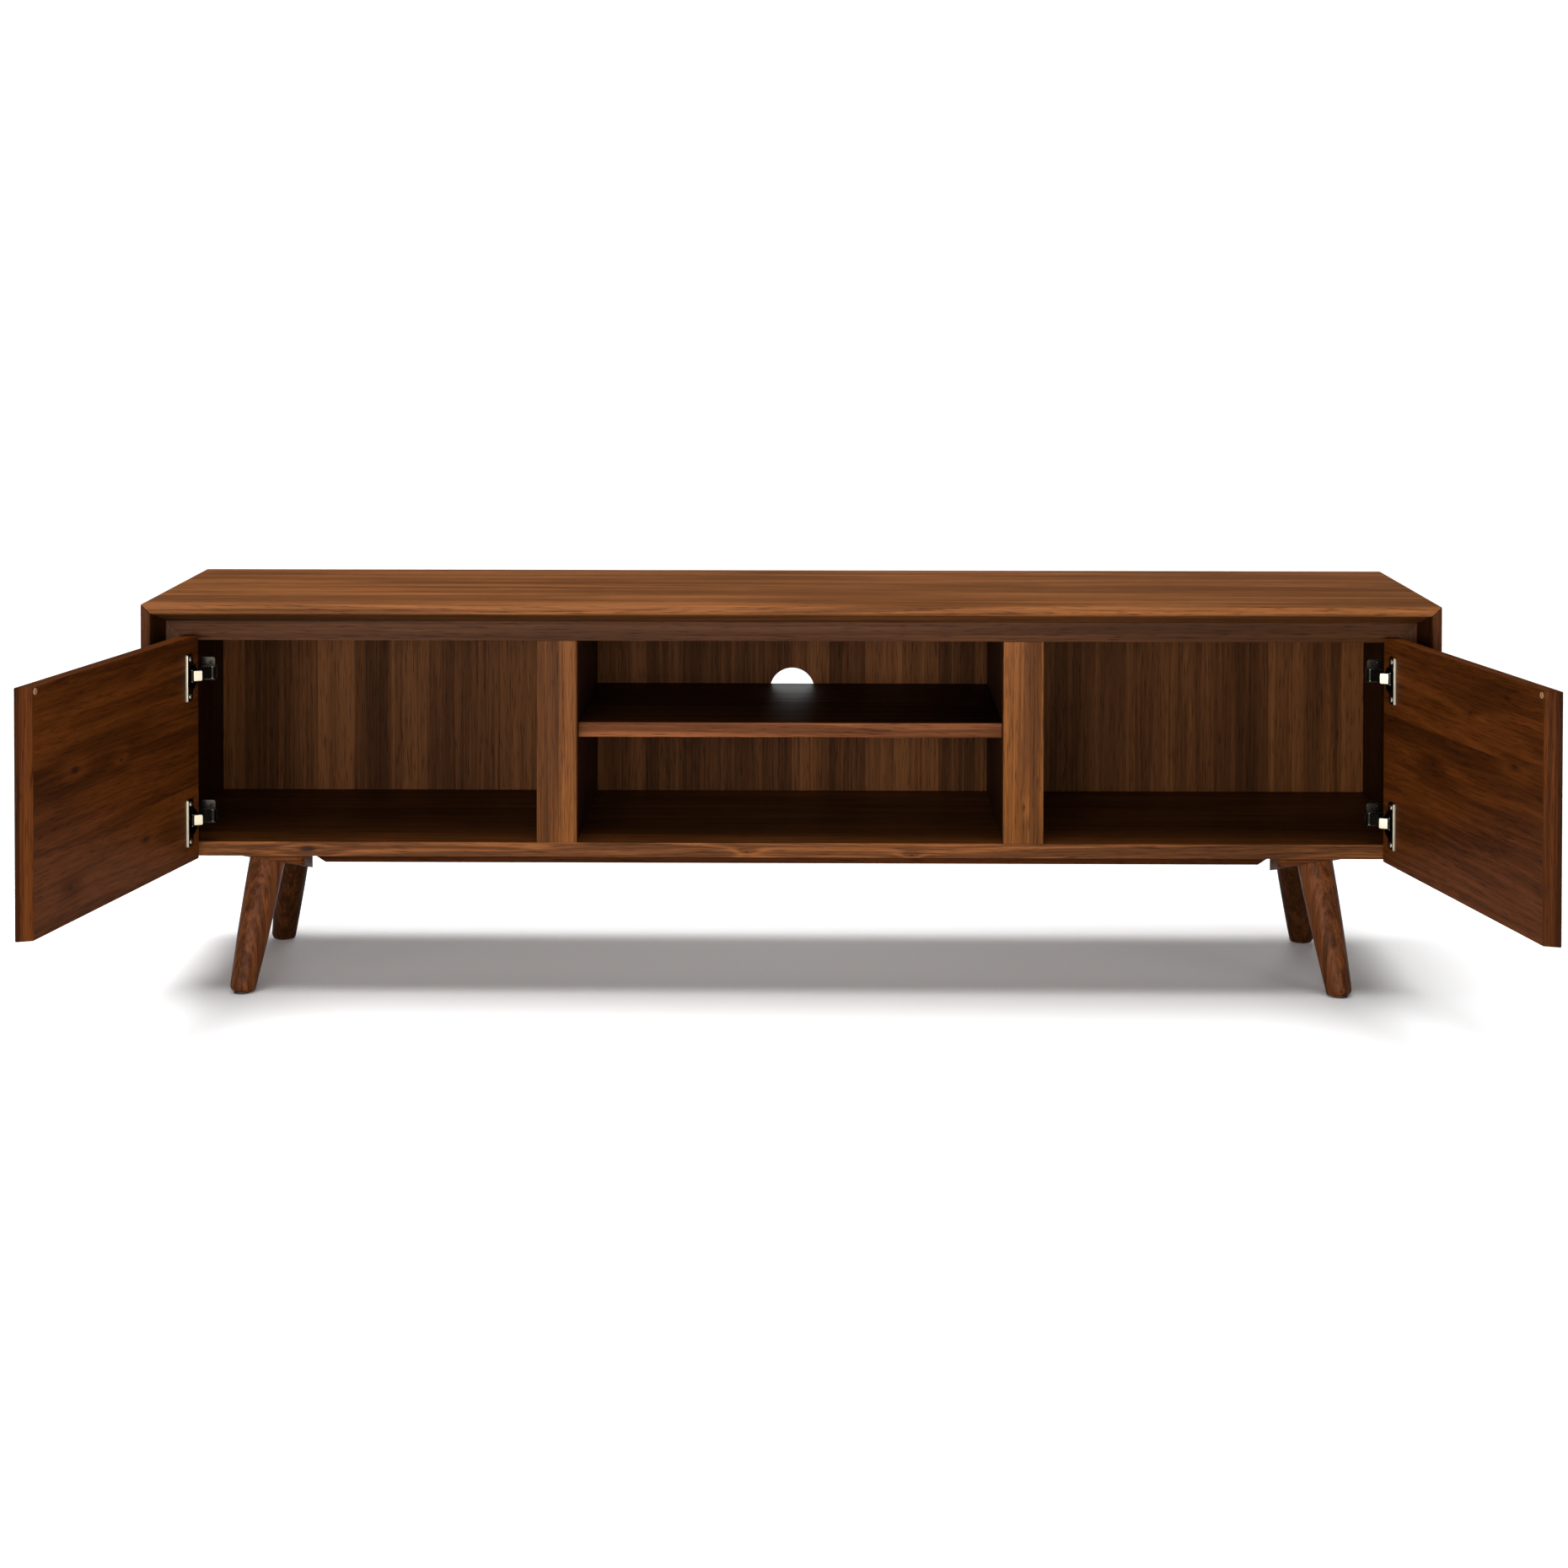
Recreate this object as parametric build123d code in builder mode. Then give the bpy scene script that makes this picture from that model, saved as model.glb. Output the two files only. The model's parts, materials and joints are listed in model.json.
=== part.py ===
"""Two-door media cabinet in oiled walnut on splayed, turned legs.

The case is four boards with a face frame set back behind their front edges. Two overlay doors hang on
concealed cup hinges and are modelled standing open. Lengths are millimetres. +X is to the right, +Y is to
the back and +Z is up, with the origin on the floor below the middle of the cabinet and its open doors.
"""
import math
import os

from build123d import *

# ---- driving dimensions ----
# case
CASE_WIDTH = 1800.0
CASE_DEPTH = 470.0
CASE_HEIGHT = 357.0
LEG_ZONE_HEIGHT = 199.0
SIDE_BOARD = 27.0
TOP_BOARD = 27.0
BOTTOM_BOARD = 20.0
FRONT_EDGE = 12.5
FRAME_SETBACK = 38.5

# face frame
FRAME_THICKNESS = 20.0
RAIL_HEIGHT = 27.0
STILE_WIDTH = 27.0
MULLION_WIDTH = 56.0
MIDDLE_OPENING = 596.0

# inside
PARTITION_BOARD = 18.0
BACK_BOARD = 9.0
BACK_SETBACK = 5.0
BACK_SCREW_INSET = 30.0
SHELF_BOARD = 20.5
SHELF_DROP = 145.0
SHELF_SETBACK = 24.5
SHELF_SIDE_GAP = 0.5
SHELF_BACK_GAP = 2.0
CABLE_HOLE_RADIUS = 34.0
SHELF_PIN_RADIUS = 2.5
SHELF_PIN_GRIP = 10.0
SHELF_PIN_REACH = 8.0
SHELF_PIN_INSET = 50.0

# doors
DOOR_MULLION_OVERLAP = 11.0
DOOR_LIP = 12.0
DOOR_THICKNESS = 20.0
DOOR_TOP_GAP = 17.0
DOOR_SIDE_GAP = 5.0
DOOR_FRAME_GAP = 2.0
DOOR_OPEN_ANGLE = 101.0
DOOR_EDGE_ROUND = 1.5
BUMPER_RADIUS = 4.0
BUMPER_INSET = 6.0
BUMPER_CLEARANCE = 0.2

# hinges
HINGE_END_DISTANCE = 56.0
CUP_RADIUS = 17.5
CUP_DEPTH = 11.5
CUP_WALL = 1.0
CUP_CENTRE_INSET = 25.5
CUP_FLANGE_THICKNESS = 1.4
CUP_FLANGE_HEIGHT = 66.0
CUP_FLANGE_WIDTH = 22.0
CUP_FLANGE_ROUND = 6.0
CUP_RIM = 1.5
CUP_LIP_WIDTH = 1.8
CUP_LIP_HEIGHT = 2.6
CUP_POST_GAP = 0.8
CUP_POST_THICKNESS = 2.4
CUP_SCREW_SPACING = 52.0
CUP_SCREW_OFFSET = 8.0
CUP_PIVOT_INSET = 16.0
CUP_PIVOT_DEPTH = 3.0
CUP_PIN_RADIUS = 1.25
CUP_KNUCKLE_RADIUS = 2.8
ARM_PIVOT_INSET = 58.8
ARM_PIVOT_SETBACK = 5.5
ARM_PIN_RADIUS = 2.0
ARM_KNUCKLE_RADIUS = 3.6
ARM_HEIGHT = 20.0
ARM_WALL = 1.8
ARM_FRONT_GAP = 1.2
ARM_DEPTH = 16.0
ARM_END_MARGIN = 1.0
PLATE_HEIGHT = 46.0
PLATE_THICKNESS = 2.0
PLATE_SCREW_SPACING = 32.0
PLATE_MARGIN = 1.0
LINK_HEIGHT = 15.0
LINK_THICKNESS = 2.6
LINK_REAR_KNEE = (-17.8, -1.0)
LINK_CUP_KNEE = (-31.9, -15.5)
LINK_SWING = 48.5
PIVOT_CLEARANCE = 0.05
SCREW_RADIUS = 1.75
SCREW_HEAD_RADIUS = 3.4
SCREW_HEAD_HEIGHT = 1.6
SCREW_LENGTH = 14.0
SCREW_HEAD_TAPER = 20.0

# legs
LEG_SIDE_INSET = 127.0
LEG_FRONT_INSET = 65.0
LEG_SLOPE_X = 0.16
LEG_SLOPE_Y = 0.25
LEG_TOP_RADIUS = 25.0
LEG_MIDDLE_RADIUS = 22.3
LEG_MIDDLE_HEIGHT = 88.0
LEG_FOOT_RADIUS = 18.0
LEG_FOOT_ROUND = 9.0
BLOCK_WIDTH = 99.0
BLOCK_DEPTH = 92.0
BLOCK_CORNER_RADIUS = 12.0
BLOCK_THIN_CORNER = 2.6
BLOCK_INBOARD = 5.5
BLOCK_SCREW_RADIUS = 2.5
BLOCK_SCREW_HOLD = 10.0
GLIDE_RADIUS = 11.0
GLIDE_THICKNESS = 2.5
LEG_BOLT_RADIUS = 4.0
LEG_BOLT_HOLD = 38.0
LEG_BOLT_GRIP = 14.0
BLOCK_SCREW_SPACING = 62.0
UNDER_RAIL_INSET = 206.0
UNDER_RAIL_HEIGHT = 46.0
UNDER_RAIL_BOARD = 20.0
UNDER_RAIL_BEVEL = 14.0
UNDER_RAIL_BEVEL_RISE = 9.0

# ---- worked-out places ----
half_width = CASE_WIDTH / 2
inside_x = half_width - SIDE_BOARD
stile_edge_x = inside_x - STILE_WIDTH
middle_x = MIDDLE_OPENING / 2
mullion_edge_x = middle_x + MULLION_WIDTH
partition_x = middle_x + PARTITION_BOARD
case_bottom_z = LEG_ZONE_HEIGHT
case_top_z = case_bottom_z + CASE_HEIGHT
deck_z = case_bottom_z + BOTTOM_BOARD
ceiling_z = case_top_z - TOP_BOARD
rail_bottom_z = ceiling_z - RAIL_HEIGHT
shelf_top_z = ceiling_z - SHELF_DROP
shelf_bottom_z = shelf_top_z - SHELF_BOARD
door_bottom_z = case_bottom_z
door_top_z = ceiling_z - DOOR_TOP_GAP
door_edge_x = inside_x - DOOR_SIDE_GAP
door_width = door_edge_x - (mullion_edge_x - DOOR_MULLION_OVERLAP)
hinge_heights = (door_bottom_z + HINGE_END_DISTANCE, door_top_z - HINGE_END_DISTANCE)
frame_back = FRAME_SETBACK + FRAME_THICKNESS
back_panel_back = CASE_DEPTH - BACK_SETBACK
back_panel_front = back_panel_back - BACK_BOARD
leg_foot_x = half_width - LEG_SIDE_INSET
leg_foot_y = CASE_DEPTH / 2 - LEG_FRONT_INSET


def turned(angle, along, across=0.0):
    """Turn the plan vector (along, across) by an angle in degrees about +Z."""
    turn = math.radians(angle)
    return (
        along * math.cos(turn) - across * math.sin(turn),
        along * math.sin(turn) + across * math.cos(turn),
    )


def plus(first, second):
    """Add two plan vectors."""
    return (first[0] + second[0], first[1] + second[1])


# Plan view of the left hinge. The second number is the depth behind the front edge of the case.
arm_pivot = (ARM_PIVOT_INSET - door_edge_x, FRAME_SETBACK + ARM_PIVOT_SETBACK)
closed_corner = (-door_edge_x, FRAME_SETBACK - DOOR_FRAME_GAP)
closed_cup_pivot = plus(closed_corner, (CUP_PIVOT_INSET, -CUP_PIVOT_DEPTH))
closed_link = (closed_cup_pivot[0] - arm_pivot[0], closed_cup_pivot[1] - arm_pivot[1])
cup_pivot = plus(arm_pivot, turned(LINK_SWING, *closed_link))
open_corner = plus(cup_pivot, turned(-DOOR_OPEN_ANGLE, -CUP_PIVOT_INSET, CUP_PIVOT_DEPTH))
door_tip = plus(open_corner, turned(-DOOR_OPEN_ANGLE, door_width + DOOR_LIP, -DOOR_THICKNESS))

# The open doors reach forward, and the origin is midway between their tips and the back of the case.
front_y = (-door_tip[1] - CASE_DEPTH) / 2
middle_y = front_y + CASE_DEPTH / 2


def at_depth(point):
    """Turn a plan point (x, depth behind the front edge) into model x and y."""
    return (point[0], front_y + point[1])


def keep(piece, name):
    """Label a finished piece and write its STEP file."""
    piece.part.label = name
    export_step(piece.part, f"parts/{name}.step")


def mirrored(piece):
    """The same piece on the right-hand side."""
    with BuildPart() as twin:
        mirror(piece.part, about=Plane.YZ)
    return twin


def keep_pair(piece, name):
    """Write a left-hand piece and its mirror image."""
    keep(piece, f"left_{name}")
    keep(mirrored(piece), f"right_{name}")


def board(low, high):
    """A plain square-edged board between two corners, given as (x, depth, z)."""
    size = [b - a for a, b in zip(low, high)]
    centre = [(a + b) / 2 for a, b in zip(low, high)]
    with BuildPart() as piece:
        with BuildSketch(Plane.XY.offset(low[2])):
            with Locations((centre[0], front_y + centre[1])):
                Rectangle(size[0], size[1])
        extrude(amount=size[2])
    return piece


os.makedirs("parts", exist_ok=True)

# ---- case ----
# The top board is mitred to the sides. Its underside thins from the face frame to a slim front edge.
with BuildPart() as top_panel:
    with BuildSketch(Plane.YZ.offset(-half_width)):
        with BuildLine():
            Polyline(
                (front_y, case_top_z),
                (front_y + CASE_DEPTH, case_top_z),
                (front_y + CASE_DEPTH, ceiling_z),
                (front_y + FRAME_SETBACK, ceiling_z),
                (front_y, case_top_z - FRONT_EDGE),
                close=True,
            )
        make_face()
    extrude(amount=CASE_WIDTH)
    with BuildSketch(Plane.XZ.offset(-front_y)):
        with BuildLine():
            Polyline(
                (-half_width, case_top_z),
                (half_width, case_top_z),
                (inside_x, ceiling_z),
                (-inside_x, ceiling_z),
                close=True,
            )
        make_face()
    extrude(amount=-CASE_DEPTH, mode=Mode.INTERSECT)
keep(top_panel, "top_panel")

with BuildPart() as side_panel:
    with BuildSketch(Plane.XY.offset(case_bottom_z)):
        with BuildLine():
            Polyline(
                (-half_width, front_y),
                (-half_width, front_y + CASE_DEPTH),
                (-inside_x, front_y + CASE_DEPTH),
                (-inside_x, front_y + FRAME_SETBACK),
                (FRONT_EDGE - half_width, front_y),
                close=True,
            )
        make_face()
    extrude(amount=CASE_HEIGHT)
    with BuildSketch(Plane.XZ.offset(-front_y)):
        with BuildLine():
            Polyline(
                (-half_width, case_bottom_z),
                (-half_width, case_top_z),
                (-inside_x, ceiling_z),
                (-inside_x, case_bottom_z),
                close=True,
            )
        make_face()
    extrude(amount=-CASE_DEPTH, mode=Mode.INTERSECT)
keep_pair(side_panel, "side_panel")


# ---- legs ----
def leg_axis(side_x, side_y):
    """The point of a leg's axis on the floor and the direction up the leg."""
    foot = Vector(side_x * leg_foot_x, middle_y + side_y * leg_foot_y, 0)
    up = Vector(-side_x * LEG_SLOPE_X, -side_y * LEG_SLOPE_Y, 1).normalized()
    return foot, up


def block_centre(side_x, side_y):
    """The middle of a leg block on the underside of the case."""
    x = leg_foot_x - LEG_SLOPE_X * LEG_ZONE_HEIGHT - BLOCK_INBOARD
    y = leg_foot_y - LEG_SLOPE_Y * LEG_ZONE_HEIGHT
    return (side_x * x, middle_y + side_y * y)


def block_underside(side_x, side_y):
    """The plane under a leg block, square to the leg, which leaves the outer corner thin."""
    x, y = block_centre(side_x, side_y)
    corner = (
        x + side_x * BLOCK_WIDTH / 2,
        y + side_y * BLOCK_DEPTH / 2,
        case_bottom_z - BLOCK_THIN_CORNER,
    )
    return Plane(origin=corner, z_dir=leg_axis(side_x, side_y)[1])


def leg_length(side_x, side_y):
    """Distance up the axis from the floor to the underside of the block."""
    foot, up = leg_axis(side_x, side_y)
    return (block_underside(side_x, side_y).origin - foot).dot(up)


leg_places = {
    "front_left": (-1, -1),
    "front_right": (1, -1),
    "rear_left": (-1, 1),
    "rear_right": (1, 1),
}
block_screw_places = [
    (block_centre(*sides)[0] + offset, block_centre(*sides)[1])
    for sides in leg_places.values()
    for offset in (-BLOCK_SCREW_SPACING / 2, BLOCK_SCREW_SPACING / 2)
]

for place, sides in leg_places.items():
    foot, up = leg_axis(*sides)
    length = leg_length(*sides)
    underside = block_underside(*sides)
    bolt_plane = Plane(origin=foot + up * (length - LEG_BOLT_HOLD), z_dir=up)

    with BuildPart() as block:
        with BuildSketch(Plane.XY.offset(case_bottom_z)):
            with Locations(block_centre(*sides)):
                RectangleRounded(BLOCK_WIDTH, BLOCK_DEPTH, BLOCK_CORNER_RADIUS)
        extrude(amount=-BLOCK_WIDTH)
        split(bisect_by=underside, keep=Keep.TOP)
        with BuildSketch(bolt_plane):
            Circle(LEG_BOLT_RADIUS)
        extrude(amount=LEG_BOLT_HOLD + LEG_BOLT_GRIP, mode=Mode.SUBTRACT)
        with BuildSketch(Plane.XY.offset(case_bottom_z)):
            with Locations(*block_screw_places):
                Circle(BLOCK_SCREW_RADIUS)
        extrude(amount=-BLOCK_SCREW_HOLD, mode=Mode.SUBTRACT)
    keep(block, f"{place}_leg_block")

    radial = Vector(0, 0, 1).cross(up).normalized()
    with BuildPart() as leg:
        with BuildSketch(Plane(origin=foot, x_dir=radial, z_dir=radial.cross(up))):
            with BuildLine():
                Line((0, 0), (LEG_FOOT_RADIUS - LEG_FOOT_ROUND, 0))
                JernArc((LEG_FOOT_RADIUS - LEG_FOOT_ROUND, 0), (1, 0), LEG_FOOT_ROUND, 90)
                ThreePointArc(
                    (LEG_FOOT_RADIUS, LEG_FOOT_ROUND),
                    (LEG_MIDDLE_RADIUS, LEG_MIDDLE_HEIGHT),
                    (LEG_TOP_RADIUS, length),
                )
                Polyline((LEG_TOP_RADIUS, length), (0, length), (0, 0))
            make_face()
        revolve(axis=Axis(foot, up))
        split(bisect_by=Plane.XY.offset(GLIDE_THICKNESS), keep=Keep.TOP)
        with BuildSketch(bolt_plane):
            Circle(LEG_BOLT_RADIUS)
        extrude(amount=2 * LEG_BOLT_HOLD, mode=Mode.SUBTRACT)
    keep(leg, f"{place}_leg")

with BuildPart() as leg_bolts:
    for sides in leg_places.values():
        foot, up = leg_axis(*sides)
        with BuildSketch(Plane(origin=foot + up * (leg_length(*sides) - LEG_BOLT_HOLD), z_dir=up)):
            Circle(LEG_BOLT_RADIUS)
        extrude(amount=LEG_BOLT_HOLD + LEG_BOLT_GRIP)
keep(leg_bolts, "leg_bolts")

with BuildPart() as foot_glides:
    for sides in leg_places.values():
        foot = leg_axis(*sides)[0]
        with BuildSketch(Plane.XY):
            with Locations((foot.X, foot.Y)):
                Circle(GLIDE_RADIUS)
        extrude(amount=GLIDE_THICKNESS)
keep(foot_glides, "foot_glides")

# Screws go up through each block into the bottom board.
with BuildPart() as block_screws:
    with BuildSketch(Plane.XY.offset(case_bottom_z - BLOCK_SCREW_HOLD)):
        with Locations(*block_screw_places):
            Circle(BLOCK_SCREW_RADIUS)
    extrude(amount=2 * BLOCK_SCREW_HOLD)
keep(block_screws, "block_screws")

with BuildPart() as under_rail:
    rail_half = half_width - UNDER_RAIL_INSET
    rail_base_z = case_bottom_z - UNDER_RAIL_HEIGHT
    with BuildSketch(Plane.XZ.offset(-middle_y - UNDER_RAIL_BOARD / 2)):
        with BuildLine():
            Polyline(
                (-rail_half, case_bottom_z),
                (rail_half, case_bottom_z),
                (rail_half, rail_base_z + UNDER_RAIL_BEVEL_RISE),
                (rail_half - UNDER_RAIL_BEVEL, rail_base_z),
                (UNDER_RAIL_BEVEL - rail_half, rail_base_z),
                (-rail_half, rail_base_z + UNDER_RAIL_BEVEL_RISE),
                close=True,
            )
        make_face()
    extrude(amount=UNDER_RAIL_BOARD)
keep(under_rail, "under_rail")

# ---- bottom, back, partitions and shelf ----
with BuildPart() as bottom_panel:
    with BuildSketch(Plane.XY.offset(case_bottom_z)):
        with Locations((0, front_y + (FRAME_SETBACK + back_panel_back) / 2)):
            Rectangle(2 * inside_x, back_panel_back - FRAME_SETBACK)
    extrude(amount=BOTTOM_BOARD)
    with BuildSketch(Plane.XY.offset(case_bottom_z)):
        with Locations(*block_screw_places):
            Circle(BLOCK_SCREW_RADIUS)
    extrude(amount=BLOCK_SCREW_HOLD, mode=Mode.SUBTRACT)
keep(bottom_panel, "bottom_panel")

back_screw_places = [
    (side * (middle_x + PARTITION_BOARD / 2), height)
    for side in (-1, 1)
    for height in (deck_z + BACK_SCREW_INSET, (deck_z + ceiling_z) / 2, ceiling_z - BACK_SCREW_INSET)
]
shelf_middle_z = (shelf_top_z + shelf_bottom_z) / 2
with BuildPart() as back_panel:
    with BuildSketch(Plane.XZ.offset(-front_y - back_panel_back)):
        with Locations((0, (deck_z + ceiling_z) / 2)):
            Rectangle(2 * inside_x, ceiling_z - deck_z)
        with Locations((0, shelf_middle_z)):
            Circle(CABLE_HOLE_RADIUS, mode=Mode.SUBTRACT)
        with Locations(*back_screw_places):
            Circle(SCREW_RADIUS, mode=Mode.SUBTRACT)
    extrude(amount=BACK_BOARD)
keep(back_panel, "back_panel")

with BuildPart() as back_screws:
    with BuildSketch(Plane.XZ.offset(-front_y - back_panel_back)):
        with Locations(*back_screw_places):
            Circle(SCREW_RADIUS)
    extrude(amount=BACK_BOARD + SCREW_LENGTH)
    with BuildSketch(Plane.XZ.offset(-front_y - back_panel_back)):
        with Locations(*back_screw_places):
            Circle(SCREW_HEAD_RADIUS)
    extrude(amount=-SCREW_HEAD_HEIGHT)
keep(back_screws, "back_screws")

pin_depths = (frame_back + SHELF_PIN_INSET, back_panel_front - SHELF_PIN_INSET)
pin_places = [(front_y + depth, shelf_bottom_z - SHELF_PIN_RADIUS) for depth in pin_depths]
with BuildPart() as partition:
    with BuildSketch(Plane.XY.offset(deck_z)):
        with Locations((-(middle_x + PARTITION_BOARD / 2), front_y + (frame_back + back_panel_front) / 2)):
            Rectangle(PARTITION_BOARD, back_panel_front - frame_back)
    extrude(amount=ceiling_z - deck_z)
    with BuildSketch(Plane.YZ.offset(-middle_x)):
        with Locations(*pin_places):
            Circle(SHELF_PIN_RADIUS)
    extrude(amount=-SHELF_PIN_GRIP, mode=Mode.SUBTRACT)
    with BuildSketch(Plane.XZ.offset(-front_y - back_panel_front)):
        with Locations(*back_screw_places):
            Circle(SCREW_RADIUS)
    extrude(amount=SCREW_LENGTH, mode=Mode.SUBTRACT)
keep_pair(partition, "partition")

with BuildPart() as shelf_pins:
    for side in (-1, 1):
        with BuildSketch(Plane.YZ.offset(side * (middle_x + SHELF_PIN_GRIP))):
            with Locations(*pin_places):
                Circle(SHELF_PIN_RADIUS)
        extrude(amount=-side * (SHELF_PIN_GRIP + SHELF_PIN_REACH))
keep(shelf_pins, "shelf_pins")

shelf_half = middle_x - SHELF_SIDE_GAP
middle_shelf = board(
    (-shelf_half, FRAME_SETBACK + SHELF_SETBACK, shelf_bottom_z),
    (shelf_half, back_panel_front - SHELF_BACK_GAP, shelf_top_z),
)
keep(middle_shelf, "middle_shelf")

# ---- face frame ----
# The rail and the stiles meet in mitres at the upper corners.
with BuildPart() as top_rail:
    with BuildSketch(Plane.XZ.offset(-front_y - frame_back)):
        with BuildLine():
            Polyline(
                (-inside_x, ceiling_z),
                (inside_x, ceiling_z),
                (stile_edge_x, rail_bottom_z),
                (-stile_edge_x, rail_bottom_z),
                close=True,
            )
        make_face()
    extrude(amount=FRAME_THICKNESS)
keep(top_rail, "top_rail")

plate_screw_places = [
    (front_y + FRAME_SETBACK + FRAME_THICKNESS / 2, height + side * PLATE_SCREW_SPACING / 2)
    for height in hinge_heights
    for side in (-1, 1)
]
with BuildPart() as stile:
    with BuildSketch(Plane.XZ.offset(-front_y - frame_back)):
        with BuildLine():
            Polyline(
                (-inside_x, deck_z),
                (-inside_x, ceiling_z),
                (-stile_edge_x, rail_bottom_z),
                (-stile_edge_x, deck_z),
                close=True,
            )
        make_face()
    extrude(amount=FRAME_THICKNESS)
    with BuildSketch(Plane.YZ.offset(-stile_edge_x)):
        with Locations(*plate_screw_places):
            Circle(SCREW_RADIUS)
    extrude(amount=-SCREW_LENGTH, mode=Mode.SUBTRACT)
keep_pair(stile, "stile")

mullion = board(
    (-mullion_edge_x, FRAME_SETBACK, deck_z),
    (-middle_x, frame_back, rail_bottom_z),
)
keep_pair(mullion, "mullion")

# ---- doors ----
door_plan = Plane(
    origin=(*at_depth(open_corner), 0),
    x_dir=(*turned(-DOOR_OPEN_ANGLE, 1), 0),
    z_dir=(0, 0, 1),
)


def on_door(along, height):
    """A plane on the inner face of the left door, facing out of it, with its x away from the hinges."""
    place = plus(open_corner, turned(-DOOR_OPEN_ANGLE, along))
    return Plane(
        origin=(*at_depth(place), height),
        x_dir=door_plan.x_dir,
        z_dir=door_plan.y_dir,
    )


cup_screw_places = [
    (CUP_SCREW_OFFSET, -CUP_SCREW_SPACING / 2),
    (CUP_SCREW_OFFSET, CUP_SCREW_SPACING / 2),
]
with BuildPart() as door:
    with BuildSketch(door_plan.offset(door_bottom_z)):
        with BuildLine():
            Polyline(
                (0, 0),
                (door_width, 0),
                (door_width + DOOR_LIP, -DOOR_THICKNESS),
                (0, -DOOR_THICKNESS),
                close=True,
            )
        make_face()
    extrude(amount=door_top_z - door_bottom_z)
    fillet(door.edges(), DOOR_EDGE_ROUND)
    for height in hinge_heights:
        with BuildSketch(on_door(CUP_CENTRE_INSET, height)):
            Circle(CUP_RADIUS)
        extrude(amount=-CUP_DEPTH, mode=Mode.SUBTRACT)
        with BuildSketch(on_door(CUP_CENTRE_INSET, height)):
            with Locations(*cup_screw_places):
                Circle(SCREW_RADIUS)
        extrude(amount=-SCREW_LENGTH, mode=Mode.SUBTRACT)
keep_pair(door, "door")

# A soft button near the free top corner meets the face frame.
with BuildPart() as door_bumper:
    with BuildSketch(on_door(door_width - BUMPER_INSET, door_top_z - BUMPER_INSET)):
        Circle(BUMPER_RADIUS)
    extrude(amount=DOOR_FRAME_GAP - BUMPER_CLEARANCE)
keep_pair(door_bumper, "door_bumper")

# ---- hinges, two to a door ----
cup_inside_radius = CUP_RADIUS - CUP_WALL
post_width = 2 * CUP_KNUCKLE_RADIUS
post_place = CUP_PIVOT_INSET - CUP_CENTRE_INSET
post_middle = LINK_HEIGHT / 2 + CUP_POST_GAP + CUP_POST_THICKNESS / 2
cup_pin_length = LINK_HEIGHT + 2 * (CUP_POST_GAP + CUP_POST_THICKNESS)
with BuildPart() as hinge_cups:
    for height in hinge_heights:
        face = on_door(CUP_CENTRE_INSET, height)
        with BuildSketch(face):
            Circle(CUP_RADIUS)
        extrude(amount=-CUP_DEPTH)
        with BuildSketch(face):
            Circle(CUP_RADIUS + CUP_RIM)
            with Locations((CUP_SCREW_OFFSET, 0)):
                RectangleRounded(CUP_FLANGE_WIDTH, CUP_FLANGE_HEIGHT, CUP_FLANGE_ROUND)
            with Locations(*cup_screw_places):
                Circle(SCREW_RADIUS, mode=Mode.SUBTRACT)
        extrude(amount=CUP_FLANGE_THICKNESS)
        with BuildSketch(face):
            with Locations((CUP_SCREW_OFFSET + CUP_FLANGE_WIDTH / 2 - CUP_LIP_WIDTH / 2, 0)):
                Rectangle(CUP_LIP_WIDTH, CUP_FLANGE_HEIGHT - 2 * CUP_FLANGE_ROUND)
        extrude(amount=CUP_LIP_HEIGHT)
        with BuildSketch(face.offset(CUP_FLANGE_THICKNESS)):
            Circle(cup_inside_radius)
        extrude(amount=-(CUP_DEPTH - CUP_WALL + CUP_FLANGE_THICKNESS), mode=Mode.SUBTRACT)
        with BuildSketch(face.offset(-CUP_DEPTH)):
            with Locations((post_place, -post_middle), (post_place, post_middle)):
                Rectangle(post_width, CUP_POST_THICKNESS)
        extrude(amount=CUP_DEPTH)
        pin_end = Plane(origin=(*at_depth(cup_pivot), height - cup_pin_length / 2))
        with BuildSketch(pin_end):
            Circle(CUP_PIN_RADIUS)
        extrude(amount=cup_pin_length, mode=Mode.SUBTRACT)
keep_pair(hinge_cups, "hinge_cups")

with BuildPart() as cup_pins:
    for height in hinge_heights:
        with BuildSketch(Plane(origin=(*at_depth(cup_pivot), height - cup_pin_length / 2))):
            Circle(CUP_PIN_RADIUS)
        extrude(amount=cup_pin_length)
keep_pair(cup_pins, "cup_pins")

with BuildPart() as cup_screws:
    for height in hinge_heights:
        face = on_door(CUP_CENTRE_INSET, height).offset(CUP_FLANGE_THICKNESS)
        with BuildSketch(face):
            with Locations(*cup_screw_places):
                Circle(SCREW_RADIUS)
        extrude(amount=-(SCREW_LENGTH + CUP_FLANGE_THICKNESS))
        with BuildSketch(face):
            with Locations(*cup_screw_places):
                Circle(SCREW_HEAD_RADIUS)
        extrude(amount=SCREW_HEAD_HEIGHT, taper=SCREW_HEAD_TAPER)
keep_pair(cup_screws, "cup_screws")

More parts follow.
